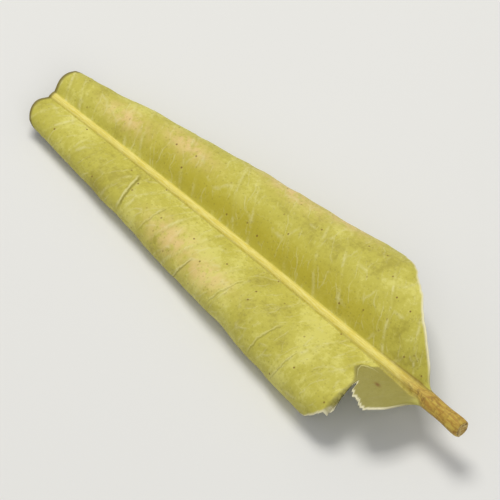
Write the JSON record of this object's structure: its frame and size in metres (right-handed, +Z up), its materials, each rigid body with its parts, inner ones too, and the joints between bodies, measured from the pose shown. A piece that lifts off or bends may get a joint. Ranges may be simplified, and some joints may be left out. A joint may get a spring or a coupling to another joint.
{
  "type": "dried kaffir lime leaf",
  "caption": "Dried citrus leaf lying underside up: a blunt, tapering blade rolled into a trough along its raised midrib, with a short woody stalk stub and a ragged split in its base margin.",
  "frame": {"origin": "centre of the bounding box on the floor the leaf lies on", "axes": "+X along the midrib from the blunt apex to the stalk stub, +Y towards the half that arches high, +Z up with the leaf's underside facing up"},
  "size_m": [0.0614, 0.0198, 0.0081],
  "materials": {
    "leaf": "matt dried leaf, yellow-green with a pale yellow midrib and an ochre stalk stub"
  },
  "bodies": {
    "root": {"leaf": "leaf"}
  },
  "joints": []
}
